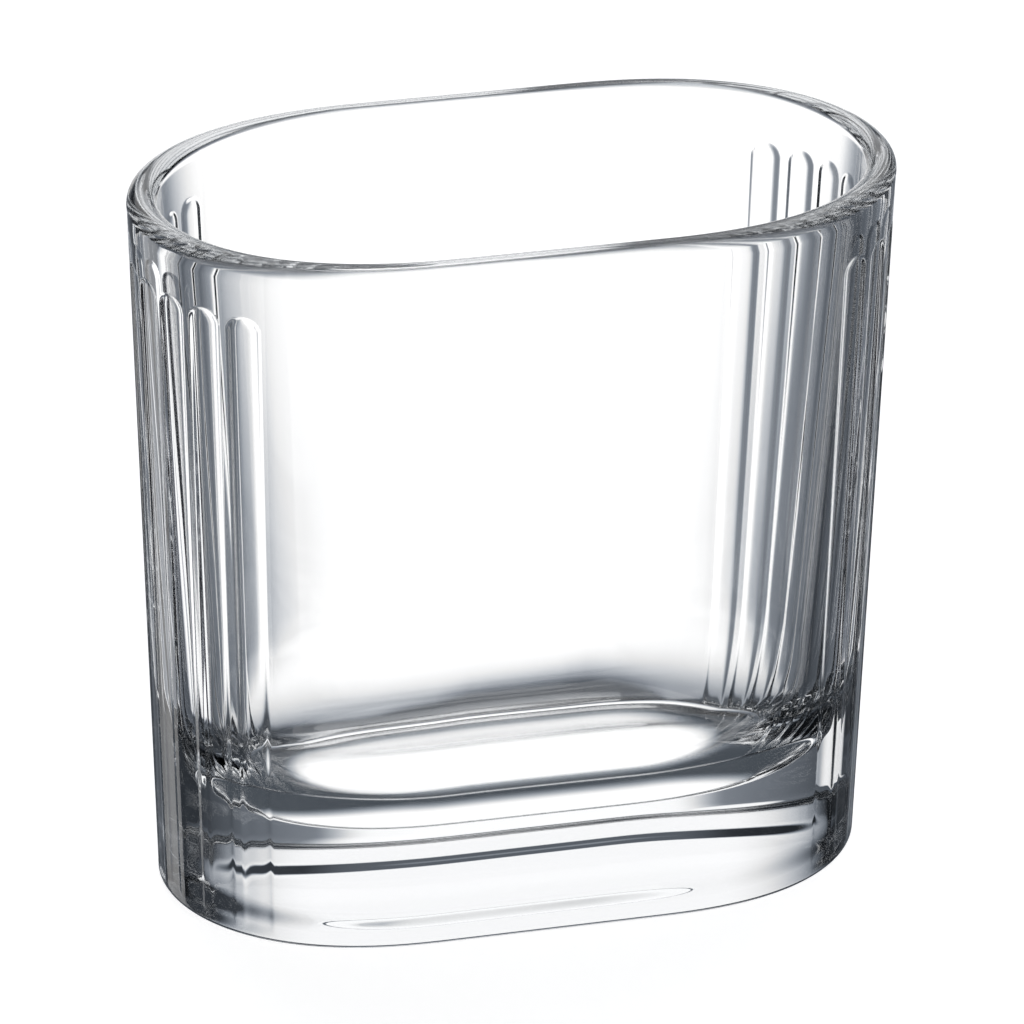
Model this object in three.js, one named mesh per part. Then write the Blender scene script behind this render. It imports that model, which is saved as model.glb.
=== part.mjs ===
// Appetizer glass: one press-moulded piece of clear glass, with a thick base and an open top.
// Millimetres, +Z up. X runs along the long sides and Y across them.
// The origin is the middle of the foot, on the surface that the glass stands on.

import * as THREE from 'three';

// Outer form: straight long sides and full round ends, all widening a little to the rim
const RIM_LENGTH = 85;
const RIM_WIDTH = 45.4;
const FOOT_LENGTH = 79.5;
const FOOT_WIDTH = 42;
const HEIGHT = 83;
const OUTER_FLAT = 24; // straight stretch of each long side, outside
const END_FULLNESS = 2.4; // 2 is a half ellipse, more is fuller next to the straight sides

// Lip and inside
const LIP_END_WALL = 3.3;
const LIP_SIDE_WALL = 2.3;
const LIP_ROUND = 1.5; // height of the rounding that goes over the whole lip
const BASE_END_WALL = 6; // walls where the inside meets the level of the floor
const BASE_SIDE_WALL = 4.5;
const FLOOR_HEIGHT = 11; // glass under the inside
const FILLET_REACH = 8.9; // from the inner wall to the flat floor
const FILLET_RISE = 13.3; // from the floor up to the straight wall
const INNER_FLAT = 19; // straight stretch of each long side, inside

// Foot: a flat ring to stand on, round a shallow recess with a sloped edge
const HEEL_ROUND = 0.9;
const STANDING_RING = 6.5;
const RECESS_SLOPE = 6.5;
const RECESS_DEPTH = 0.5;

// Flutes: shallow upright hollows with round tops, side by side on the two ends
const FLUTES_PER_END = 9;
const FLUTE_STEP = 11.75; // degrees of the end's round from one flute to the next
const FLUTE_WIDTH = 3.8;
const FLUTE_DEPTH = 0.3; // at the tops
const FLUTE_FOOT_DEPTH = 0.1; // at the heel
const FLUTE_SQUARENESS = 5; // 2 is a plain bowl, more has a flatter middle and steeper edges
const PLAIN_BAND = 6.6; // smooth glass between the tops of the flutes and the rim
const FLUTE_RUN_OUT = 1.2; // height over which a flute fades into the heel

// How finely the round forms are divided
const FLUTE_PARTS = 4; // across one flute
const CORNER_PARTS = 5; // from the outermost flute to the straight side
const HEEL_PARTS = 3;
const LIP_PARTS = 8;
const FILLET_PARTS = 8;
const SLOPE_PARTS = 4;
const FLUTE_TOP_PARTS = 3;

const QUARTER = Math.PI / 2;
const FULLEST = 0.98; // most of the room between neighbours that a limited form takes
const END_POWER = 2 / END_FULLNESS;
const GLASS = new THREE.MeshStandardMaterial({
  color: 0xf2f6f6,
  roughness: 0.03,
  metalness: 0,
  transparent: true,
  opacity: 0.35,
});

// Evenly spaced shares, from just after the start up to 1
function shares(parts) {
  return Array.from({ length: parts }, (_, k) => (k + 1) / parts);
}

function mix(from, to, share) {
  return from + (to - from) * share;
}

function easeInOut(share) {
  return share * share * (3 - 2 * share);
}

// Half length and half width of the outside at a height. The rim's sizes are those where its lip starts.
function outerHalf(z) {
  const share = z / (HEIGHT - LIP_ROUND);
  return {
    length: mix(FOOT_LENGTH, RIM_LENGTH, share) / 2,
    width: mix(FOOT_WIDTH, RIM_WIDTH, share) / 2,
  };
}

// Half length and half width of the inside at a height, straight from the floor's level to the rim
function innerHalf(z) {
  const low = outerHalf(FLOOR_HEIGHT);
  const share = (z - FLOOR_HEIGHT) / (HEIGHT - FLOOR_HEIGHT);
  return {
    length: mix(low.length - BASE_END_WALL, RIM_LENGTH / 2 - LIP_END_WALL, share),
    width: mix(low.width - BASE_SIDE_WALL, RIM_WIDTH / 2 - LIP_SIDE_WALL, share),
  };
}

// The middle lines of one end's flutes, as angles of its round. 0 is the tip of the end.
const fluteStep = Math.min(THREE.MathUtils.degToRad(FLUTE_STEP), FULLEST * Math.PI / FLUTES_PER_END);
const fluteAngles = Array.from({ length: FLUTES_PER_END }, (_, k) => {
  return fluteStep * (k - (FLUTES_PER_END - 1) / 2);
});

// Length of outline for each radian of the end's round, at the rim
function outlineRate(angle) {
  const depth = END_POWER * (RIM_LENGTH - OUTER_FLAT) / 2;
  const inwards = depth * Math.sin(angle) * Math.cos(angle) ** (END_POWER - 1);
  return Math.hypot(inwards, RIM_WIDTH / 2 * Math.cos(angle));
}

// Upright lines round one end, from one straight side to the other. Each has its angle and,
// on a flute, its distance from the flute's middle line.
function endLines() {
  const lines = [];
  for (const middle of fluteAngles) {
    const rate = outlineRate(middle);
    const reach = Math.min(FLUTE_WIDTH / 2 / rate, FULLEST * fluteStep / 2);
    for (const share of [0, ...shares(FLUTE_PARTS)]) {
      const turn = mix(-reach, reach, share);
      lines.push({ angle: middle + turn, fromMiddle: turn * rate });
    }
  }
  const edge = lines.at(-1).angle;
  const corner = shares(CORNER_PARTS).map((share) => {
    return { angle: mix(edge, QUARTER, share), fromMiddle: FLUTE_WIDTH };
  });
  const firstCorner = corner.map((line) => ({ ...line, angle: -line.angle })).reverse();
  return [...firstCorner, ...lines, ...corner];
}

// All upright lines, anticlockwise seen from above: the +X end first, then the -X end
const lines = [1, -1].flatMap((end) => {
  return endLines().map((line) => ({ ...line, end, angle: end * line.angle }));
});

// Depth of the flutes at a line and a height
function fluteRecess(line, z) {
  const topMiddle = HEIGHT - PLAIN_BAND - FLUTE_WIDTH / 2;
  const away = Math.hypot(line.fromMiddle, Math.max(0, z - topMiddle)) / (FLUTE_WIDTH / 2);
  const rise = (z - HEEL_ROUND) / (HEIGHT - PLAIN_BAND - HEEL_ROUND);
  const hollow = mix(FLUTE_FOOT_DEPTH, FLUTE_DEPTH, rise) * Math.max(0, 1 - away ** FLUTE_SQUARENESS);
  const share = THREE.MathUtils.clamp((z - HEEL_ROUND) / FLUTE_RUN_OUT, 0, 1);
  return hollow * easeInOut(share);
}

// One level ring of points: half length, half width, straight stretch, height, fluted or smooth
function ring(length, width, flat, z, fluted = false) {
  const half = Math.min(flat / 2, FULLEST * length);
  const depth = length - half;
  return lines.map((line) => {
    const cosine = Math.max(0, Math.cos(line.angle));
    const sine = Math.sin(line.angle);
    const across = new THREE.Vector2(cosine ** (2 - END_POWER) / END_POWER / depth, sine / width).normalize();
    const recess = fluted ? fluteRecess(line, z) : 0;
    return new THREE.Vector3(
      line.end * (half + depth * cosine ** END_POWER - recess * across.x),
      width * sine - recess * across.y,
      z,
    );
  });
}

// Underside, from the edge of the recess's flat middle out to the heel
function undersideRings() {
  const foot = outerHalf(0);
  const slope = Math.min(RECESS_SLOPE, FULLEST * (foot.width - STANDING_RING));
  const rings = [0, ...shares(SLOPE_PARTS)].map((share) => {
    const inset = STANDING_RING + slope * (1 - share);
    const z = RECESS_DEPTH * easeInOut(1 - share);
    return ring(foot.length - inset, foot.width - inset, mix(INNER_FLAT, OUTER_FLAT, share), z);
  });
  rings.push(ring(foot.length - HEEL_ROUND, foot.width - HEEL_ROUND, OUTER_FLAT, 0));
  return rings;
}

// Outside, from the heel's rounding up past the flutes to the start of the lip
function outsideRings() {
  const heelTop = outerHalf(HEEL_ROUND);
  const rings = shares(HEEL_PARTS).map((share) => {
    const inset = HEEL_ROUND * (1 - Math.sin(share * QUARTER));
    const z = HEEL_ROUND * (1 - Math.cos(share * QUARTER));
    return ring(heelTop.length - inset, heelTop.width - inset, OUTER_FLAT, z);
  });
  const fluteTop = HEIGHT - PLAIN_BAND;
  const roundTop = [0, ...shares(FLUTE_TOP_PARTS)].map((share) => {
    return fluteTop - FLUTE_WIDTH / 2 * (1 - Math.sin(share * QUARTER));
  });
  const heights = [
    HEEL_ROUND + FLUTE_RUN_OUT / 2,
    HEEL_ROUND + FLUTE_RUN_OUT,
    ...roundTop,
    HEIGHT - LIP_ROUND,
  ];
  for (const z of heights) {
    const half = outerHalf(z);
    rings.push(ring(half.length, half.width, OUTER_FLAT, z, true));
  }
  return rings;
}

// Lip: one rounding from the outer wall over the crest to the inner wall
function lipRings() {
  const start = HEIGHT - LIP_ROUND;
  const outer = outerHalf(start);
  const inner = innerHalf(start);
  return shares(LIP_PARTS).map((share) => {
    const inward = (1 - Math.cos(share * Math.PI)) / 2;
    return ring(
      mix(outer.length, inner.length, inward),
      mix(outer.width, inner.width, inward),
      mix(OUTER_FLAT, INNER_FLAT, inward),
      start + LIP_ROUND * Math.sin(share * Math.PI),
    );
  });
}

// Inside: the fillet at the foot of the inner walls, down to the edge of the flat floor
function insideRings() {
  const reach = Math.min(FILLET_REACH, FULLEST * innerHalf(FLOOR_HEIGHT).width);
  const rise = Math.min(FILLET_RISE, FULLEST * (HEIGHT - LIP_ROUND - FLOOR_HEIGHT));
  return [0, ...shares(FILLET_PARTS)].map((share) => {
    const inset = reach * (1 - Math.cos(share * QUARTER));
    const z = FLOOR_HEIGHT + rise * (1 - Math.sin(share * QUARTER));
    const half = innerHalf(z);
    return ring(half.length - inset, half.width - inset, INNER_FLAT, z);
  });
}

// A closed skin over a stack of rings, with a point in the middle of the first and the last
function closedSkin(rings) {
  const count = lines.length;
  const points = rings.flat();
  const first = points.push(new THREE.Vector3(0, 0, rings[0][0].z)) - 1;
  const last = points.push(new THREE.Vector3(0, 0, rings.at(-1)[0].z)) - 1;
  const faces = [];
  for (let c = 0; c < count; c += 1) {
    const next = (c + 1) % count;
    faces.push(first, next, c);
    for (let row = 0; row < rings.length - 1; row += 1) {
      const low = row * count;
      const high = low + count;
      faces.push(low + c, low + next, high + next);
      faces.push(low + c, high + next, high + c);
    }
    const end = (rings.length - 1) * count;
    faces.push(end + c, end + next, last);
  }
  const geometry = new THREE.BufferGeometry().setFromPoints(points);
  geometry.setIndex(faces);
  geometry.computeVertexNormals();
  return geometry;
}

const skin = closedSkin([...undersideRings(), ...outsideRings(), ...lipRings(), ...insideRings()]);
const body = new THREE.Mesh(skin, GLASS);
body.name = 'glass_body';

const glass = new THREE.Group();
glass.add(body);

export default glass;
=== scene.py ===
# %% [markdown]
# # A fluted appetizer glass
# This lesson dresses one small glass for serving appetizers. It is oblong in plan, straight on its long
# sides, fluted on its round ends, thick in the base and open at the top. The real one is pressed: a gob of
# molten glass drops into a mould, a plunger pushes it up round itself, and a flame then melts the surface
# smooth. The CAD model comes first, as a fixed frame. Its box is kept, because the finished glass stays
# inside it.

# %% Load the frame
import math
import bpy
from mathutils import Matrix, Vector


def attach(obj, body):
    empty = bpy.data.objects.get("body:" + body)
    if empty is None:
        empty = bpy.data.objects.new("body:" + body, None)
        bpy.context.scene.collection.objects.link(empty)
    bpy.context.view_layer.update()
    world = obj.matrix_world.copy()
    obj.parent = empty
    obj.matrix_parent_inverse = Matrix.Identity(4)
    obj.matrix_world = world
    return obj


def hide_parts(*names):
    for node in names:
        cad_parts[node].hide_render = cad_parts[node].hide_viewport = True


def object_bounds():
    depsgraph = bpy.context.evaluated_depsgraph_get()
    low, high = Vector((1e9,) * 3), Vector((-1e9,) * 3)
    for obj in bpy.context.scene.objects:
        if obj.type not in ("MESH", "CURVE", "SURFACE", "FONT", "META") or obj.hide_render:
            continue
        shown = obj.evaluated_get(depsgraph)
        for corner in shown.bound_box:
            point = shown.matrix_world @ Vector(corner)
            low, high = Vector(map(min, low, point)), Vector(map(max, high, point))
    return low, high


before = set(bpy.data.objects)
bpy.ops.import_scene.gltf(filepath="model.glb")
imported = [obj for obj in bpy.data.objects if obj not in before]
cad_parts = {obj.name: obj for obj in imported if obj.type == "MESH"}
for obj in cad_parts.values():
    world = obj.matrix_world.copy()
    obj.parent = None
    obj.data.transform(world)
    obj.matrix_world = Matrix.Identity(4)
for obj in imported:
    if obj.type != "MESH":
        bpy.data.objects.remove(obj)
cad_low, cad_high = [list(corner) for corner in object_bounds()]
print("CAD box in metres:", cad_low, cad_high)

# %% [markdown]
# ## Sizes
# The glass is described by a few sizes, in millimetres, as a mould maker would write them down. The length,
# width and height come from the frame, so that they can't drift away from the CAD model. The others say how
# the walls, the lip, the base and the foot are shaped.

# %% Sizes of the glass
MM = 0.001
RIM_LENGTH, RIM_WIDTH, HEIGHT = [(top - bottom) / MM for bottom, top in zip(cad_low, cad_high)]
FOOT_LENGTH, FOOT_WIDTH = 79.5, 42.0
OUTER_FLAT, INNER_FLAT = 24.0, 19.0  # straight stretch of each long side
END_FULLNESS = 2.4  # 2 is a half ellipse, more is fuller next to the straight sides
LIP_END_WALL, LIP_SIDE_WALL, LIP_ROUND = 3.3, 2.3, 1.5
BASE_END_WALL, BASE_SIDE_WALL = 6.0, 4.5
FLOOR_HEIGHT, FILLET_REACH, FILLET_RISE = 11.0, 8.9, 13.3
HEEL_ROUND, STANDING_RING = 0.9, 6.5
RECESS_SLOPE, RECESS_DEPTH = 6.5, 0.5
print(f"rim {RIM_LENGTH:.1f} x {RIM_WIDTH:.1f} mm, height {HEIGHT:.1f} mm")

# %% [markdown]
# ## Upright lines
# The plan has two straight sides and two round ends, a little fuller than half ellipses. The mesh is a stack
# of rings over that plan, and every ring uses the same upright lines. A line is a place along the straight
# stretch, from -1 to 1, and an angle on the end's round. The lines stand closest at the edges of the flutes
# that will be pressed there, because glass shows every facet twice, once as a reflection and once as a bend
# in what lies behind.

# %% Upright lines round the plan
QUARTER = math.pi / 2
FLUTES_PER_END = 9
FLUTE_STEP = math.radians(11.75)
FLUTE_EDGE = FLUTE_STEP * FLUTES_PER_END / 2
FLUTE_PARTS, CORNER_PARTS, SIDE_PARTS = 22, 16, 8


def mix(start, end, share):
    return start + (end - start) * share


def shares(parts):
    return [part / parts for part in range(1, parts + 1)]


across_flute = [(1 + math.sin((2 * share - 1) * QUARTER)) / 2 for share in shares(FLUTE_PARTS)]
fluted = [-FLUTE_EDGE]
for flute in range(FLUTES_PER_END):
    fluted += [FLUTE_STEP * (flute + share) - FLUTE_EDGE for share in across_flute]
corner = [mix(FLUTE_EDGE, QUARTER, share) for share in shares(CORNER_PARTS)]
end_angles = [-angle for angle in reversed(corner)] + fluted + corner
side_places = [mix(1, -1, share) for share in shares(SIDE_PARTS)[:-1]]
lines = [(1, angle) for angle in end_angles]
lines += [(place, QUARTER) for place in side_places]
lines += [(-1, -angle) for angle in end_angles]
lines += [(-place, -QUARTER) for place in side_places]
print(len(lines), "upright lines")

# %% [markdown]
# ## Walls
# Outside, the glass widens evenly from the foot to where the lip starts. Inside, the plunger has its own
# taper, so the walls grow thicker downwards. Both are straight lines between two sizes, so two small
# functions are enough: each gives the half length and half width of the glass at a height. A third function
# turns such a pair into one level ring of points.

# %% Outer and inner walls
LIP_START = HEIGHT - LIP_ROUND
END_POWER = 2 / END_FULLNESS


def outer_half(z):
    share = z / LIP_START
    return mix(FOOT_LENGTH, RIM_LENGTH, share) / 2, mix(FOOT_WIDTH, RIM_WIDTH, share) / 2


def inner_half(z):
    low_length, low_width = outer_half(FLOOR_HEIGHT)
    share = (z - FLOOR_HEIGHT) / (HEIGHT - FLOOR_HEIGHT)
    half_length = mix(low_length - BASE_END_WALL, RIM_LENGTH / 2 - LIP_END_WALL, share)
    half_width = mix(low_width - BASE_SIDE_WALL, RIM_WIDTH / 2 - LIP_SIDE_WALL, share)
    return half_length, half_width


def ring(length, width, flat, z):
    points = []
    for place, angle in lines:
        reach = (length - flat / 2) * max(0, math.cos(angle)) ** END_POWER
        points.append((place * flat / 2 + math.copysign(reach, place), width * math.sin(angle), z))
    return points


print("half sizes at the floor, outside and inside:", outer_half(FLOOR_HEIGHT), inner_half(FLOOR_HEIGHT))

# %% [markdown]
# ## The foot
# Glass touches the table only on a ring. Inside that ring the base is hollowed by half a millimetre, with a
# soft slope, so that the glass doesn't rock. Seen through the base, this slope draws thin lines. The rings
# start near the middle of the recess and go outwards, then round the heel.

# %% Rings of the foot
MIDDLE_PARTS, SLOPE_PARTS, STANDING_PARTS, HEEL_PARTS = 7, 18, 4, 8


def ease(share):
    return share * share * (3 - 2 * share)


foot_length, foot_width = outer_half(0)
inset = STANDING_RING + RECESS_SLOPE
foot_rings = []
for share in shares(MIDDLE_PARTS):
    size = [side * share for side in (foot_length - inset, foot_width - inset, INNER_FLAT)]
    foot_rings.append(ring(*size, RECESS_DEPTH))
for share in shares(SLOPE_PARTS):
    inset = STANDING_RING + RECESS_SLOPE * (1 - share)
    flat = mix(INNER_FLAT, OUTER_FLAT, share)
    z = RECESS_DEPTH * ease(1 - share)
    foot_rings.append(ring(foot_length - inset, foot_width - inset, flat, z))
for share in shares(STANDING_PARTS):
    inset = mix(STANDING_RING, HEEL_ROUND, share)
    foot_rings.append(ring(foot_length - inset, foot_width - inset, OUTER_FLAT, 0))
heel_length, heel_width = outer_half(HEEL_ROUND)
for share in shares(HEEL_PARTS):
    inset = HEEL_ROUND * (1 - math.sin(share * QUARTER))
    z = HEEL_ROUND * (1 - math.cos(share * QUARTER))
    foot_rings.append(ring(heel_length - inset, heel_width - inset, OUTER_FLAT, z))
print(len(foot_rings), "rings in the foot")

# %% [markdown]
# ## The outside
# The outside is smooth for now: the flutes are pressed into it later. Its rings stand close together at the
# two ends of the flutes, where the surface bends upwards as well as sideways, and far apart between.

# %% Rings of the outside
FLUTE_WIDTH, FLUTE_RUN_OUT = 3.8, 1.2
PLAIN_BAND = 6.6  # smooth glass between the flutes and the rim
FLUTE_TOP = HEIGHT - PLAIN_BAND
RUN_OUT_PARTS, STRAIGHT_PARTS, ROUND_TOP_PARTS, BAND_PARTS = 8, 22, 22, 5
PAST_TOP = 0.3


def climb(start, end, parts):
    return [mix(start, end, share) for share in shares(parts)]


run_out = HEEL_ROUND + FLUTE_RUN_OUT
heights = climb(HEEL_ROUND, run_out, RUN_OUT_PARTS)
heights += climb(run_out, FLUTE_TOP - FLUTE_WIDTH / 2, STRAIGHT_PARTS)
heights += climb(heights[-1], FLUTE_TOP + PAST_TOP, ROUND_TOP_PARTS)
heights += climb(FLUTE_TOP + PAST_TOP, LIP_START, BAND_PARTS)
wall_rings = [ring(*outer_half(z), OUTER_FLAT, z) for z in heights]
print(len(wall_rings), "rings in the outer wall")

# %% [markdown]
# ## The lip and the inside
# The flame melts the lip into one round bead, from the outer wall over the crest to the inner wall. The plan
# of the plunger is a little rounder than that of the mould, so the straight stretch grows shorter across the
# lip. Inside, the wall runs straight down into a large fillet and a flat floor.

# %% Rings of the lip and the inside
LIP_PARTS, WALL_PARTS, FILLET_PARTS, FLOOR_PARTS = 28, 20, 26, 14
lip_outer = outer_half(LIP_START) + (OUTER_FLAT,)
lip_inner = inner_half(LIP_START) + (INNER_FLAT,)
lip_rings = []
for share in shares(LIP_PARTS):
    inward = (1 - math.cos(share * math.pi)) / 2
    size = [mix(outer, inner, inward) for outer, inner in zip(lip_outer, lip_inner)]
    lip_rings.append(ring(*size, LIP_START + LIP_ROUND * math.sin(share * math.pi)))

fillet_top = FLOOR_HEIGHT + FILLET_RISE
inside_rings = [ring(*inner_half(z), INNER_FLAT, z) for z in climb(LIP_START, fillet_top, WALL_PARTS)]
for share in shares(FILLET_PARTS):
    inset = FILLET_REACH * (1 - math.cos(share * QUARTER))
    z = fillet_top - FILLET_RISE * math.sin(share * QUARTER)
    length, width = inner_half(z)
    inside_rings.append(ring(length - inset, width - inset, INNER_FLAT, z))
floor_size = (length - inset, width - inset, INNER_FLAT)
for inward in shares(FLOOR_PARTS)[:-1]:
    inside_rings.append(ring(*[side * (1 - inward) for side in floor_size], FLOOR_HEIGHT))
print(len(lip_rings), "rings in the lip,", len(inside_rings), "inside")

# %% [markdown]
# ## The blank
# A skin over the rings, closed with a fan of triangles under the recess and on the floor, is the glass before
# its flutes. Two attributes go with its points. One is the angle on the end's round. The other says which
# side a point is on: 1 on the outer wall, -1 inside, 0 on the foot and the lip.

# %% Skin over the rings
stack = foot_rings + wall_rings + lip_rings + inside_rings
points = [point for level in stack for point in level]
points += [(0, 0, stack[0][0][2]), (0, 0, stack[-1][0][2])]
count = len(lines)
last = (len(stack) - 1) * count
faces = []
for line in range(count):
    beside = (line + 1) % count
    faces.append((len(points) - 2, beside, line))
    for start in range(0, last, count):
        faces.append((start + line, start + beside, start + count + beside, start + count + line))
    faces.append((last + line, last + beside, len(points) - 1))
print(len(points), "points,", len(faces), "faces")

# %% The blank and its attributes
def new_object(name, data):
    made = bpy.data.objects.new(name, data)
    bpy.context.collection.objects.link(made)
    return made


blank_mesh = bpy.data.meshes.new("glass_blank")
blank_mesh.from_pydata([Vector(point) * MM for point in points], [], faces)
blank_mesh.polygons.foreach_set("use_smooth", [True] * len(faces))
sides = [0] * len(foot_rings) + [1] * len(wall_rings) + [0] * len(lip_rings) + [-1] * len(inside_rings)
angle_values = [angle for level in stack for place, angle in lines] + [QUARTER, QUARTER]
side_values = [side for side in sides for line in lines] + [0, -1]
for name, values in (("end_angle", angle_values), ("wall_side", side_values)):
    blank_mesh.attributes.new(name, "FLOAT", "POINT").data.foreach_set("value", values)
blank = new_object("glass_blank", blank_mesh)
print("blank:", len(blank_mesh.vertices), "points, with end_angle and wall_side")

# %% [markdown]
# ## Clear soda-lime glass
# Tableware like this is soda-lime glass. It bends light with an index of refraction of about 1.52, and
# through a few centimetres it turns faintly grey. Fire polish leaves it smooth, but never quite flat: the
# skin swells and dips by a few thousandths of a millimetre over a centimetre or so, which makes straight
# lines behind it waver. The lip, melted round by the flame, keeps a slightly soft sheen, and tables scuff the
# ring that the glass stands on. A Principled shader with full transmission gives the bending and the
# reflections together, one noise gives the waver, another one and the height give the wear, and Volume
# Absorption gives the grey by thickness.

# %% Helpers: an empty node tree, one node, one colour
def clear_tree(owner):
    owner.use_nodes = True
    owner.node_tree.nodes.clear()
    return owner.node_tree


def add_node(tree, kind, inputs=None, out=0, **settings):
    node = tree.nodes.new(kind)
    for name, value in settings.items():
        setattr(node, name, value)
    for socket, value in (inputs or {}).items():
        if isinstance(value, bpy.types.NodeSocket):
            tree.links.new(value, node.inputs[socket])
        else:
            node.inputs[socket].default_value = value
    return node.outputs[out] if node.outputs else node


def linear(hex_colour):
    # The sRGB standard's own curve, for red, green and blue
    parts = [int(hex_colour[place:place + 2], 16) / 255 for place in (1, 3, 5)]
    return [part / 12.92 if part <= 0.04045 else ((part + 0.055) / 1.055) ** 2.4 for part in parts] + [1]


WHITE = linear("#ffffff")
print("white in linear light:", WHITE)

# %% Material: the waver of the skin, the scuffed ring and the soft lip
WAVER_MM, WAVER_HEIGHT_MM = 11.0, 0.004
SCUFF_MM, SCUFF_TOP_MM, SCUFF_ROUGHNESS = 0.8, 0.12, 0.12
LIP_SOFTNESS, SOFT_BELOW_MM, SOFT_ABOVE_MM = 0.12, 0.2, 0.4
glass_material = bpy.data.materials.new("soda_lime_glass_pressed_fire_polished")
tree = clear_tree(glass_material)
spot = add_node(tree, "ShaderNodeTexCoord", out="Object")
level = add_node(tree, "ShaderNodeSeparateXYZ", {0: spot}, out="Z")
waver = add_node(tree, "ShaderNodeTexNoise", {"Vector": spot, "Scale": 1 / (WAVER_MM * MM), "Detail": 1.0})
bump = add_node(tree, "ShaderNodeBump", {
    "Height": waver, "Strength": 1.0, "Distance": WAVER_HEIGHT_MM * MM})
scuffs = add_node(tree, "ShaderNodeTexNoise", {"Vector": spot, "Scale": 1 / (SCUFF_MM * MM), "Detail": 3.0})
worn = add_node(tree, "ShaderNodeMapRange", {
    "Value": level, "From Min": 0.0, "From Max": SCUFF_TOP_MM * MM,
    "To Min": SCUFF_ROUGHNESS, "To Max": 0.0})
scuffed = add_node(tree, "ShaderNodeMath", {0: worn, 1: scuffs}, operation="MULTIPLY")
flamed = add_node(tree, "ShaderNodeMapRange", {
    "Value": level, "To Min": 0.0, "To Max": LIP_SOFTNESS,
    "From Min": (LIP_START - SOFT_BELOW_MM) * MM, "From Max": (LIP_START + SOFT_ABOVE_MM) * MM})
roughness = add_node(tree, "ShaderNodeMath", {0: scuffed, 1: flamed}, operation="MAXIMUM")
print("roughness of the lip", LIP_SOFTNESS, "and of the standing ring up to", SCUFF_ROUGHNESS)

# %% Material: clear soda-lime glass, pressed and fire-polished
# To the eye it is clear and heavy: dark lines along the edges, and a faint grey where the glass is thick.
REFRACTION, GREY_DENSITY = 1.52, 26.0
skin = add_node(tree, "ShaderNodeBsdfPrincipled", {
    "Base Color": WHITE, "Roughness": roughness, "IOR": REFRACTION, "Transmission Weight": 1.0,
    "Normal": bump})
grey = add_node(tree, "ShaderNodeVolumeAbsorption", {"Color": linear("#e7e8e9"), "Density": GREY_DENSITY})
add_node(tree, "ShaderNodeOutputMaterial", {"Surface": skin, "Volume": grey})
print("material:", glass_material.name)

# %% [markdown]
# ## Pressing the flutes
# Nine shallow hollows stand side by side on each end, with round tops under the plain band of the lip. They
# have a flat middle and steep edges, grow shallower downwards and fade out just above the heel. They repeat
# by a rule, so Geometry Nodes press them: each point finds the middle line of the nearest flute from its
# angle, measures how far away it is along the outline, and moves inwards by a rounded amount. Cutting
# eighteen shapes with booleans would leave hard creases that fire-polished glass doesn't have.

# %% Geometry Nodes: inputs of the press
FLUTE_DEPTH, FLUTE_FOOT_DEPTH = 0.3, 0.1
FLUTE_SOFTNESS = 0.2  # rounds the crease along a flute's edge
FLUTE_SQUARENESS = 5.0  # 2 is a plain bowl, more has a flatter middle and steeper edges
RIPPLE, RIPPLE_LENGTH, RIPPLE_TOP = 0.7, 22, 30
edge_bend = END_POWER * math.cos(FLUTE_EDGE) ** (END_POWER - 1)
flute_sizes = {
    "Flutes": FLUTES_PER_END, "Step": FLUTE_STEP, "Width": FLUTE_WIDTH * MM,
    "Depth": FLUTE_DEPTH * MM, "Foot depth": FLUTE_FOOT_DEPTH * MM,
    "Top": FLUTE_TOP * MM, "Heel": HEEL_ROUND * MM, "Run-out": FLUTE_RUN_OUT * MM,
    "Softness": FLUTE_SOFTNESS, "Squareness": FLUTE_SQUARENESS,
    "End depth": edge_bend * (RIM_LENGTH - OUTER_FLAT) / 2 * MM, "End half width": RIM_WIDTH / 2 * MM,
    "Ripple": RIPPLE * MM, "Ripple length": RIPPLE_LENGTH * MM, "Ripple top": RIPPLE_TOP * MM,
}
press = bpy.data.node_groups.new("press_flutes", "GeometryNodeTree")
press.interface.new_socket("Geometry", in_out="INPUT", socket_type="NodeSocketGeometry")
for name in flute_sizes:
    press.interface.new_socket(name, in_out="INPUT", socket_type="NodeSocketFloat")
press.interface.new_socket("Glass", in_out="INPUT", socket_type="NodeSocketMaterial")
press.interface.new_socket("Geometry", in_out="OUTPUT", socket_type="NodeSocketGeometry")
sizes = add_node(press, "NodeGroupInput").node.outputs
print("inputs of the press:", ", ".join(flute_sizes))

# %% Nearest flute and the distance to its middle line
angle = add_node(press, "GeometryNodeInputNamedAttribute", {"Name": "end_angle"})
last_flute = add_node(press, "ShaderNodeMath", {0: sizes["Flutes"], 1: 1.0}, operation="SUBTRACT")
tip_flute = add_node(press, "ShaderNodeMath", {0: last_flute, 1: 0.5}, operation="MULTIPLY")
steps = add_node(press, "ShaderNodeMath", {0: angle, 1: sizes["Step"]}, operation="DIVIDE")
from_first = add_node(press, "ShaderNodeMath", {0: steps, 1: tip_flute}, operation="ADD")
nearest = add_node(press, "ShaderNodeMath", {0: from_first}, operation="ROUND")
number = add_node(press, "ShaderNodeClamp", {"Value": nearest, "Min": 0.0, "Max": last_flute})
from_tip = add_node(press, "ShaderNodeMath", {0: number, 1: tip_flute}, operation="SUBTRACT")
middle = add_node(press, "ShaderNodeMath", {0: from_tip, 1: sizes["Step"]}, operation="MULTIPLY")
turn = add_node(press, "ShaderNodeMath", {0: angle, 1: middle}, operation="SUBTRACT")
sine = add_node(press, "ShaderNodeMath", {0: middle}, operation="SINE")
cosine = add_node(press, "ShaderNodeMath", {0: middle}, operation="COSINE")
inwards = add_node(press, "ShaderNodeMath", {0: sine, 1: sizes["End depth"]}, operation="MULTIPLY")
sideways = add_node(press, "ShaderNodeMath", {0: cosine, 1: sizes["End half width"]}, operation="MULTIPLY")
slant = add_node(press, "ShaderNodeCombineXYZ", {0: inwards, 1: sideways})
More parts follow.
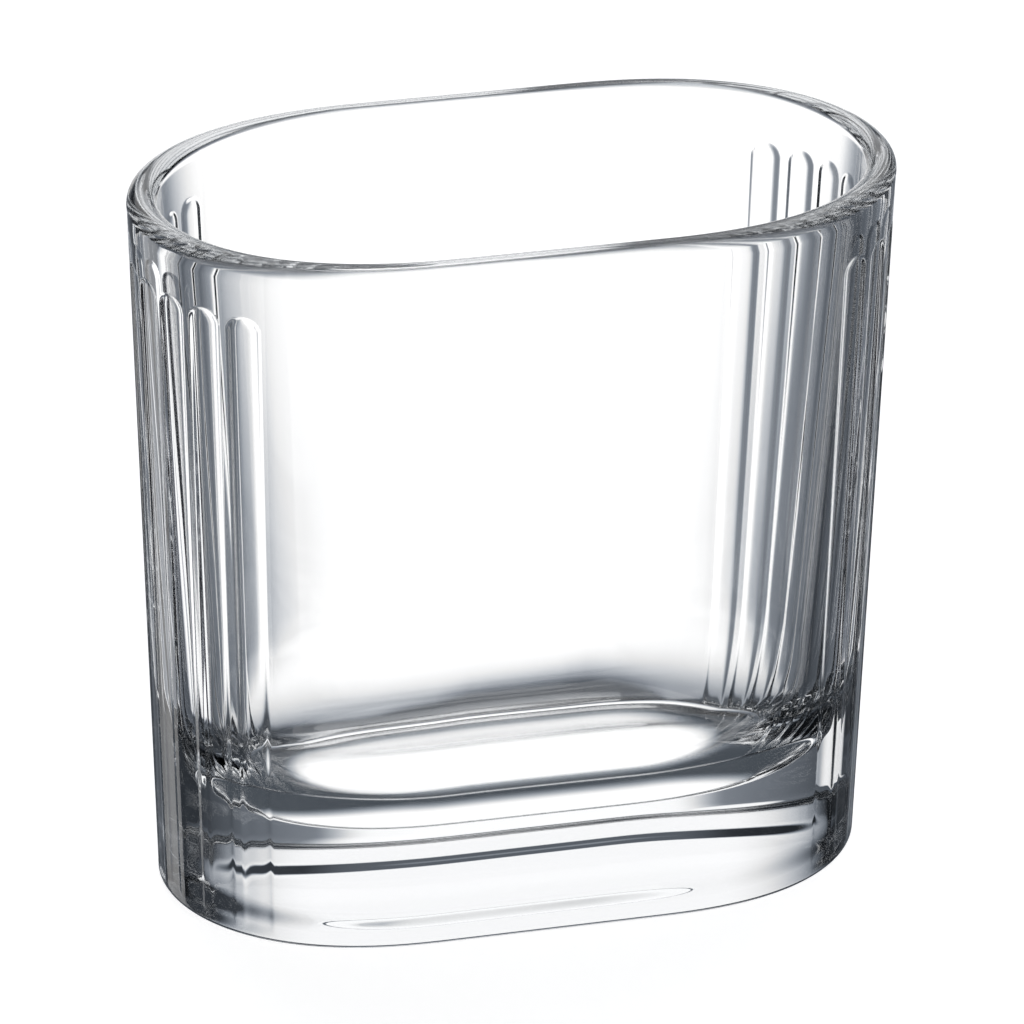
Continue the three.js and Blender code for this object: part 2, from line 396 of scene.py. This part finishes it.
rate = add_node(press, "ShaderNodeVectorMath", {0: slant}, out="Value", operation="LENGTH")
across = add_node(press, "ShaderNodeMath", {0: turn, 1: rate}, operation="MULTIPLY")
print("nearest flute:", len(press.nodes), "nodes so far")

# %% Depth of the hollow
side = add_node(press, "GeometryNodeInputNamedAttribute", {"Name": "wall_side"})
position = add_node(press, "GeometryNodeInputPosition")
height = add_node(press, "ShaderNodeSeparateXYZ", {0: position}, out="Z")
half_flute = add_node(press, "ShaderNodeMath", {0: sizes["Width"], 1: 0.5}, operation="MULTIPLY")
round_start = add_node(press, "ShaderNodeMath", {0: sizes["Top"], 1: half_flute}, operation="SUBTRACT")
past = add_node(press, "ShaderNodeMath", {0: height, 1: round_start}, operation="SUBTRACT")
above = add_node(press, "ShaderNodeMath", {0: past, 1: 0.0}, operation="MAXIMUM")
apart = add_node(press, "ShaderNodeCombineXYZ", {0: across, 1: above})
distance = add_node(press, "ShaderNodeVectorMath", {0: apart}, out="Value", operation="LENGTH")
away = add_node(press, "ShaderNodeMath", {0: distance, 1: half_flute}, operation="DIVIDE")
bent = add_node(press, "ShaderNodeMath", {0: away, 1: sizes["Squareness"]}, operation="POWER")
bowl = add_node(press, "ShaderNodeMath", {0: 1.0, 1: bent}, operation="SUBTRACT")
hollow = add_node(press, "ShaderNodeMath", {0: bowl, 1: 0.0, 2: sizes["Softness"]}, operation="SMOOTH_MAX")
fade_end = add_node(press, "ShaderNodeMath", {0: sizes["Heel"], 1: sizes["Run-out"]}, operation="ADD")
fade = add_node(press, "ShaderNodeMapRange", {
    "Value": height, "From Min": sizes["Heel"], "From Max": fade_end}, interpolation_type="SMOOTHSTEP")
outside = add_node(press, "ShaderNodeMath", {0: side, 1: 0.0}, operation="MAXIMUM")
masked = add_node(press, "ShaderNodeMath", {0: fade, 1: outside}, operation="MULTIPLY")
depth_here = add_node(press, "ShaderNodeMapRange", {
    "Value": height, "From Min": sizes["Heel"], "From Max": sizes["Top"],
    "To Min": sizes["Foot depth"], "To Max": sizes["Depth"]})
deep = add_node(press, "ShaderNodeMath", {0: hollow, 1: depth_here}, operation="MULTIPLY")
amount = add_node(press, "ShaderNodeMath", {0: deep, 1: masked}, operation="MULTIPLY")
inward = add_node(press, "ShaderNodeMath", {0: amount, 1: -1.0}, operation="MULTIPLY")
print("hollow:", len(press.nodes), "nodes so far")

# %% [markdown]
# The plunger is cooler than the glass, and where it presses hardest the inside sets with a slight ripple: a
# few tenths of a millimetre over a couple of centimetres, strongest at the floor and gone two centimetres
# above it. A smooth noise by position gives it, the same in each run. It makes the lines of the floor wander
# as they do in a real glass. Then the points move, and the tree ends with real geometry in its material.

# %% Ripple low on the inside, and the finished press
wave_count = add_node(press, "ShaderNodeMath", {0: 1.0, 1: sizes["Ripple length"]}, operation="DIVIDE")
wave = add_node(press, "ShaderNodeTexNoise", {"Vector": position, "Scale": wave_count, "Detail": 0.0})
swell = add_node(press, "ShaderNodeMath", {0: wave, 1: 0.5}, operation="SUBTRACT")
low_share = add_node(press, "ShaderNodeMapRange", {
    "Value": height, "From Min": 0.0, "From Max": sizes["Ripple top"], "To Min": 1.0, "To Max": 0.0})
inside_low = add_node(press, "ShaderNodeMath", {0: low_share, 1: side}, operation="MULTIPLY")
inside_only = add_node(press, "ShaderNodeMath", {0: inside_low, 1: 0.0}, operation="MINIMUM")
rippled = add_node(press, "ShaderNodeMath", {0: swell, 1: inside_only}, operation="MULTIPLY")
ripple = add_node(press, "ShaderNodeMath", {0: rippled, 1: sizes["Ripple"]}, operation="MULTIPLY")
shift = add_node(press, "ShaderNodeMath", {0: inward, 1: ripple}, operation="ADD")
normal = add_node(press, "GeometryNodeInputNormal")
move = add_node(press, "ShaderNodeVectorMath", {0: normal, "Scale": shift}, operation="SCALE")
pressed = add_node(press, "GeometryNodeSetPosition", {"Geometry": sizes["Geometry"], "Offset": move})
real = add_node(press, "GeometryNodeRealizeInstances", {"Geometry": pressed})
coated = add_node(press, "GeometryNodeSetMaterial", {"Geometry": real, "Material": sizes["Glass"]})
add_node(press, "NodeGroupOutput", {"Geometry": coated})
print("press_flutes has", len(press.nodes), "nodes")

# %% [markdown]
# ## Baking the press
# The inputs are set by each socket's identifier before the first evaluation. The evaluated result becomes a
# plain mesh, and the modifier goes, because the finished piece has to stand by itself.

# %% Bake the fluted glass
modifier = blank.modifiers.new("press", "NODES")
modifier.node_group = press
identifiers = {item.name: item.identifier for item in press.interface.items_tree if item.in_out == "INPUT"}
for name, value in flute_sizes.items():
    modifier[identifiers[name]] = float(value)
modifier[identifiers["Glass"]] = glass_material
depsgraph = bpy.context.evaluated_depsgraph_get()
glass_mesh = bpy.data.meshes.new_from_object(blank.evaluated_get(depsgraph))
blank.modifiers.remove(modifier)
bpy.data.objects.remove(blank)
glass_mesh.name = "pressed_glass"
glass = new_object("pressed_glass", glass_mesh)
triangles = sum(len(face.vertices) - 2 for face in glass_mesh.polygons)
print("glass:", len(glass_mesh.vertices), "points,", triangles, "triangles")

# %% [markdown]
# ## The camera
# The photograph looks down on the glass from the front left with a long lens. Its place was fitted to the
# outlines of the rim, the sides and the foot.

# %% Camera
AZIMUTH, ELEVATION, ROLL = math.radians(-14.88), math.radians(26.01), 0.0103
DISTANCE, TO_THE_RIGHT, UPWARDS = 0.9209, 0.0002, 0.0002  # metres, from the middle of the glass
SENSOR_MM, LENS_MM, FARTHEST = 36, 292.8, 50
centre = Vector((0, 0, HEIGHT / 2 * MM))
back = Vector((
    math.sin(AZIMUTH) * math.cos(ELEVATION), -math.cos(AZIMUTH) * math.cos(ELEVATION), math.sin(ELEVATION)))
level_right = Vector((math.cos(AZIMUTH), math.sin(AZIMUTH), 0))
level_up = back.cross(level_right)
right = math.cos(ROLL) * level_right + math.sin(ROLL) * level_up
up = back.cross(right)
camera_data = bpy.data.cameras.new("camera")
camera_data.sensor_width = SENSOR_MM
camera_data.lens = LENS_MM
camera_data.clip_end = FARTHEST
camera = new_object("camera", camera_data)
camera.matrix_world = Matrix((right, up, back)).transposed().to_4x4()
camera.matrix_world.translation = centre + back * DISTANCE + right * TO_THE_RIGHT + up * UPWARDS
scene = bpy.context.scene
scene.camera = camera
print("camera at", [round(value, 3) for value in camera.matrix_world.translation])

# %% [markdown]
# ## The white sweep
# Clear glass shows only what stands round it. A white sweep of paper runs under it along the line of sight,
# from the camera to far behind, and the studio on both sides is dark. Through the flat walls the camera sees
# paper, and the round ends bend the view sideways into the dark, which draws their outlines. Paper and cards
# could be meshes, but painted in the world they have soft edges and throw no shadows of their own. So the
# world is that studio, by direction: first two angles are measured, one away from the sweep's line and one
# above the horizon.

# %% World: the two angles
world = bpy.data.worlds.new("white_sweep_in_dark_studio")
scene.world = world
tree = clear_tree(world)
direction = add_node(tree, "ShaderNodeTexCoord", out="Generated")
ahead = Vector((-back.x, -back.y, 0)).normalized()
aside = add_node(tree, "ShaderNodeVectorMath", {
    0: direction, 1: level_right}, out="Value", operation="DOT_PRODUCT")
along = add_node(tree, "ShaderNodeVectorMath", {
    0: direction, 1: ahead}, out="Value", operation="DOT_PRODUCT")
off_line = add_node(tree, "ShaderNodeMath", {0: aside}, operation="ABSOLUTE")
turned = add_node(tree, "ShaderNodeMath", {0: off_line, 1: along}, operation="ARCTAN2")
rise = add_node(tree, "ShaderNodeSeparateXYZ", {0: direction}, out="Z")
raised = add_node(tree, "ShaderNodeMath", {0: rise}, operation="ARCSINE")
print("the sweep runs towards", [round(value, 3) for value in ahead])

# %% [markdown]
# The paper has a bright core along its middle and a long faint tail to both sides. Close under the glass it
# lies in shade.

# %% World: the paper behind the glass
CORE_LIGHT, CORE_INNER, CORE_OUTER = 0.9, math.radians(5), math.radians(15)
TAIL_LIGHT, TAIL_FADE = 0.5, math.radians(40)
PAPER_TOE = 0.03  # taken off all over, so that the tail ends in the dark
SHADE_SHARE, SHADE_LOW, SHADE_HIGH = 0.4, math.radians(-66), math.radians(-42)
core = add_node(tree, "ShaderNodeMapRange", {
    "Value": turned, "From Min": CORE_INNER, "From Max": CORE_OUTER, "To Min": CORE_LIGHT, "To Max": 0.0},
    interpolation_type="SMOOTHSTEP")
fade_power = add_node(tree, "ShaderNodeMath", {0: turned, 1: -TAIL_FADE}, operation="DIVIDE")
fading = add_node(tree, "ShaderNodeMath", {0: fade_power}, operation="EXPONENT")
tail = add_node(tree, "ShaderNodeMath", {0: fading, 1: TAIL_LIGHT}, operation="MULTIPLY")
spread = add_node(tree, "ShaderNodeMath", {0: core, 1: tail}, operation="ADD")
steep = add_node(tree, "ShaderNodeMapRange", {
    "Value": raised, "From Min": SHADE_LOW, "From Max": SHADE_HIGH, "To Min": SHADE_SHARE, "To Max": 1.0},
    interpolation_type="SMOOTHSTEP")
shaded = add_node(tree, "ShaderNodeMath", {0: spread, 1: steep}, operation="MULTIPLY")
rear_glow = add_node(tree, "ShaderNodeMath", {0: shaded, 1: PAPER_TOE}, operation="SUBTRACT")
print("paper in its middle:", round(CORE_LIGHT + TAIL_LIGHT - PAPER_TOE, 2))

# %% [markdown]
# In front of the glass the paper is dimmer than behind it. It rises a little above the horizon and ends
# there.

# %% World: the paper in front, and the paper's end
FRONT_LIGHT, FRONT_FULL, FRONT_END = 0.2, -0.65, -0.3  # light, and shares of the way towards the camera
GAP_SHARE, PAPER_END, GAP_START = 0.12, math.radians(5), math.radians(9)
front_glow = add_node(tree, "ShaderNodeMapRange", {
    "Value": along, "From Min": FRONT_FULL, "From Max": FRONT_END, "To Min": FRONT_LIGHT, "To Max": 0.0},
    interpolation_type="SMOOTHSTEP")
sheet_glow = add_node(tree, "ShaderNodeMath", {0: rear_glow, 1: front_glow}, operation="MAXIMUM")
gap = add_node(tree, "ShaderNodeMapRange", {
    "Value": raised, "From Min": PAPER_END, "From Max": GAP_START, "To Min": 1.0, "To Max": GAP_SHARE},
    interpolation_type="SMOOTHSTEP")
paper_glow = add_node(tree, "ShaderNodeMath", {0: sheet_glow, 1: gap}, operation="MULTIPLY")
print("paper in front of the glass:", FRONT_LIGHT)

# %% [markdown]
# Above a dim gap a wide white card stands behind the glass. The rest of the studio is dim, a little less so
# on the right and straight below.

# %% World: the card and the dim studio
CARD_LIGHT, CARD_CORE, CARD_EDGE = 1.28, math.radians(14), math.radians(62)
CARD_LOW, CARD_FULL = math.radians(15), math.radians(20)
DIM_LEFT, DIM_RIGHT, DIM_REACH = 0.002, 0.06, 0.5  # light on both sides, and a share of the way to them
DIM_UNDER, UNDER_FULL, UNDER_END = 0.15, math.radians(-78), math.radians(-52)
card = add_node(tree, "ShaderNodeMapRange", {
    "Value": turned, "From Min": CARD_CORE, "From Max": CARD_EDGE, "To Min": CARD_LIGHT, "To Max": 0.0},
    interpolation_type="SMOOTHSTEP")
card_low = add_node(tree, "ShaderNodeMapRange", {
    "Value": raised, "From Min": CARD_LOW, "From Max": CARD_FULL}, interpolation_type="SMOOTHSTEP")
card_glow = add_node(tree, "ShaderNodeMath", {0: card, 1: card_low}, operation="MULTIPLY")
dim = add_node(tree, "ShaderNodeMapRange", {
    "Value": aside, "From Min": -DIM_REACH, "From Max": DIM_REACH, "To Min": DIM_LEFT, "To Max": DIM_RIGHT})
under = add_node(tree, "ShaderNodeMapRange", {
    "Value": raised, "From Min": UNDER_FULL, "From Max": UNDER_END, "To Min": DIM_UNDER, "To Max": 0.0},
    interpolation_type="SMOOTHSTEP")
studio_glow = add_node(tree, "ShaderNodeMath", {0: dim, 1: under}, operation="MAXIMUM")
print("card:", CARD_LIGHT, "studio:", DIM_LEFT, "to", DIM_RIGHT)

# %% [markdown]
# Four small round cards stand where the glass is looked through from other sides, so that it stays clear
# from there too. Each is a direction: degrees round from +Y towards +X, and degrees above the horizon. At the
# end, each direction shows the brightest thing that stands there. Dim places are a cool grey, as the light
# of a large room is next to the white of the lamps.

# %% World: small cards, and all glows together
SIDE_CARDS = ((-45, -27), (135, -17), (-90, -5), (0, -5))
SIDE_CORE, SIDE_EDGE = math.radians(6), math.radians(14)
for side_turn, side_rise in SIDE_CARDS:
    round_angle, lift = math.radians(side_turn), math.radians(side_rise)
    aim = (math.sin(round_angle) * math.cos(lift), math.cos(round_angle) * math.cos(lift), math.sin(lift))
    facing = add_node(tree, "ShaderNodeVectorMath", {
        0: direction, 1: aim}, out="Value", operation="DOT_PRODUCT")
    side_glow = add_node(tree, "ShaderNodeMapRange", {
        "Value": facing, "From Min": math.cos(SIDE_EDGE), "From Max": math.cos(SIDE_CORE),
        "To Min": 0.0, "To Max": CARD_LIGHT}, interpolation_type="SMOOTHSTEP")
    studio_glow = add_node(tree, "ShaderNodeMath", {0: studio_glow, 1: side_glow}, operation="MAXIMUM")
for glow in (paper_glow, card_glow):
    studio_glow = add_node(tree, "ShaderNodeMath", {0: studio_glow, 1: glow}, operation="MAXIMUM")
studio_tint = add_node(tree, "ShaderNodeMix", {
    0: studio_glow, 6: linear("#dcebff"), 7: WHITE}, out=2, data_type="RGBA")
print(len(SIDE_CARDS), "small cards")

# %% [markdown]
# Behind the glass the photograph is plain white. The camera's own rays get that white, and all others, those
# that the glass bends or reflects, meet the studio. Light Path tells them apart, so that a clean background
# needs no extra light on the glass.

# %% World: plain white for the camera
studio = add_node(tree, "ShaderNodeBackground", {"Color": studio_tint, "Strength": studio_glow})
backdrop = add_node(tree, "ShaderNodeBackground", {"Color": WHITE, "Strength": 1.0})
camera_ray = add_node(tree, "ShaderNodeLightPath", out="Is Camera Ray")
seen = add_node(tree, "ShaderNodeMixShader", {0: camera_ray, 1: studio, 2: backdrop})
add_node(tree, "ShaderNodeOutputWorld", {"Surface": seen})
print("world:", world.name, len(tree.nodes), "nodes")

# %% [markdown]
# ## The floor
# The glass stands on the paper. The camera sees it as white, and a part of that white is really lit, so that
# the glass keeps a soft shadow. Rays through the glass pass the floor by and meet the sweep in the world.

# %% Floor
FLOOR_GLOW, FLOOR_REACH, FLOOR_DROP = 0.87, 3, 0.0002
floor_corners = [(-FLOOR_REACH, -FLOOR_REACH, 0), (FLOOR_REACH, -FLOOR_REACH, 0)]
floor_corners += [(FLOOR_REACH, FLOOR_REACH, 0), (-FLOOR_REACH, FLOOR_REACH, 0)]
floor_mesh = bpy.data.meshes.new("paper_floor")
floor_mesh.from_pydata(floor_corners, [], [(0, 1, 2, 3)])
floor = new_object("paper_floor", floor_mesh)
floor.location.z = -FLOOR_DROP
floor.visible_transmission = False
floor.visible_glossy = False
# To the eye the paper is an even matt white with no edge.
paper_material = bpy.data.materials.new("white_paper")
tree = clear_tree(paper_material)
lit = add_node(tree, "ShaderNodeBsdfDiffuse", {"Color": linear("#f4f4f4")})
camera_ray = add_node(tree, "ShaderNodeLightPath", out="Is Camera Ray")
glow = add_node(tree, "ShaderNodeMath", {0: camera_ray, 1: FLOOR_GLOW}, operation="MULTIPLY")
shine = add_node(tree, "ShaderNodeEmission", {"Color": WHITE, "Strength": glow})
both = add_node(tree, "ShaderNodeAddShader", {0: lit, 1: shine})
add_node(tree, "ShaderNodeOutputMaterial", {"Surface": both})
floor_mesh.materials.append(paper_material)
print("floor:", paper_material.name)

# %% [markdown]
# ## The paper under the glass
# Light reaches the paper under the base only through the glass. It is bright under the clear middle of the
# floor and a cool grey along the foot, where the walls and the ring keep the light away. Seen from above
# this makes the wavy dark line round the floor, and seen from the front the dark band of the fillet. Tracing
# that light would take very long, so a sheet just under the foot, which only rays through the glass meet,
# holds the pattern as painted light: a painted pool of light in the middle and painted shade along the foot.

# %% Sheet under the foot
UNDER_INSET, UNDER_DROP = 0.3, 0.1
under_outline = ring(foot_length - UNDER_INSET, foot_width - UNDER_INSET, OUTER_FLAT, -UNDER_DROP)
under_mesh = bpy.data.meshes.new("painted_light_sheet_under_glass")
under_mesh.from_pydata([Vector(point) * MM for point in under_outline], [], [list(range(count))])
under_paper = new_object("painted_light_sheet_under_glass", under_mesh)
under_paper.visible_camera = False
under_paper.visible_glossy = False
under_paper.visible_diffuse = False
under_paper.visible_shadow = False
print("sheet under the foot:", len(under_outline), "corners")

# %% Paper lit through the glass
# To the eye it is a bright oblong patch that fades softly to a cool grey rim: a painted pool of light with
# painted shade round it.
UNDER_LIGHT, UNDER_DARK = 1.35, 0.12
PATCH_FLAT, PATCH_LENGTH, PATCH_WIDTH = 14.0, 17.0, 21.0
PATCH_CORE, PATCH_EDGE = 0.58, 0.95  # shares of the patch's length and width
shade_material = bpy.data.materials.new("paper_with_painted_light_and_shade")
tree = clear_tree(shade_material)
spot = add_node(tree, "ShaderNodeTexCoord", out="Object")
split = add_node(tree, "ShaderNodeSeparateXYZ", {0: spot}).node.outputs
along_foot = add_node(tree, "ShaderNodeMath", {0: split["X"]}, operation="ABSOLUTE")
from_flat = add_node(tree, "ShaderNodeMath", {0: along_foot, 1: PATCH_FLAT * MM}, operation="SUBTRACT")
past_flat = add_node(tree, "ShaderNodeMath", {0: from_flat, 1: 0.0}, operation="MAXIMUM")
long_share = add_node(tree, "ShaderNodeMath", {0: past_flat, 1: PATCH_LENGTH * MM}, operation="DIVIDE")
wide_share = add_node(tree, "ShaderNodeMath", {0: split["Y"], 1: PATCH_WIDTH * MM}, operation="DIVIDE")
both_shares = add_node(tree, "ShaderNodeCombineXYZ", {0: long_share, 1: wide_share})
from_middle = add_node(tree, "ShaderNodeVectorMath", {0: both_shares}, out="Value", operation="LENGTH")
# Painted light in the middle of the patch, painted shade tinted cool grey along the foot
through = add_node(tree, "ShaderNodeMapRange", {
    "Value": from_middle, "From Min": PATCH_CORE, "From Max": PATCH_EDGE,
    "To Min": UNDER_LIGHT, "To Max": UNDER_DARK}, interpolation_type="SMOOTHSTEP")
shade_tint = add_node(tree, "ShaderNodeMix", {
    0: through, 6: linear("#c4d6ea"), 7: WHITE}, out=2, data_type="RGBA")
shine = add_node(tree, "ShaderNodeEmission", {"Color": shade_tint, "Strength": through})
add_node(tree, "ShaderNodeOutputMaterial", {"Surface": shine})
under_mesh.materials.append(shade_material)
print("paper under the glass:", shade_material.name)

# %% [markdown]
# ## Soft lamps
# Two soft boxes finish the studio. One hangs overhead, a little to the right and behind, and shows only as a
# reflection, the pale band on the lip: it doesn't light the paper, and it isn't seen through the glass. The
# other stands at the front right and gives the walls their quiet reflections.

# %% Soft boxes
for name, stand, size, glow, only_reflected in (
    ("overhead_soft_box", (0.20, 0.12, 0.75), 0.7, 1.4, True),
    ("front_soft_box", (0.20, -0.62, 0.55), 0.4, 0.8, False),
):
    lamp_data = bpy.data.lights.new(name, "AREA")
    lamp_data.shape = "SQUARE"
    lamp_data.size = size
    lamp_data.energy = glow * math.pi * size ** 2
    lamp = new_object(name, lamp_data)
    lamp.visible_diffuse = not only_reflected
    lamp.visible_transmission = not only_reflected
    lamp.location = stand
    lamp.rotation_euler = (Vector(stand) - centre).to_track_quat("Z", "Y").to_euler()
    print(name, f"{lamp_data.energy:.2f} W")

# %% [markdown]
# ## Hand over
# The glass rides on the one body of the frame and stands for its CAD node. Light bounces many times in a
# thick base, so the path length is raised: with the usual limit the deepest paths come back black.

# %% Ride, replace and finish
PATH_LENGTH, GLOSSY_LENGTH = 32, 16
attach(glass, "root")
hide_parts("glass_body")
scene.cycles.max_bounces = PATH_LENGTH
scene.cycles.transmission_bounces = PATH_LENGTH
scene.cycles.glossy_bounces = GLOSSY_LENGTH
scene.view_settings.view_transform = "Standard"
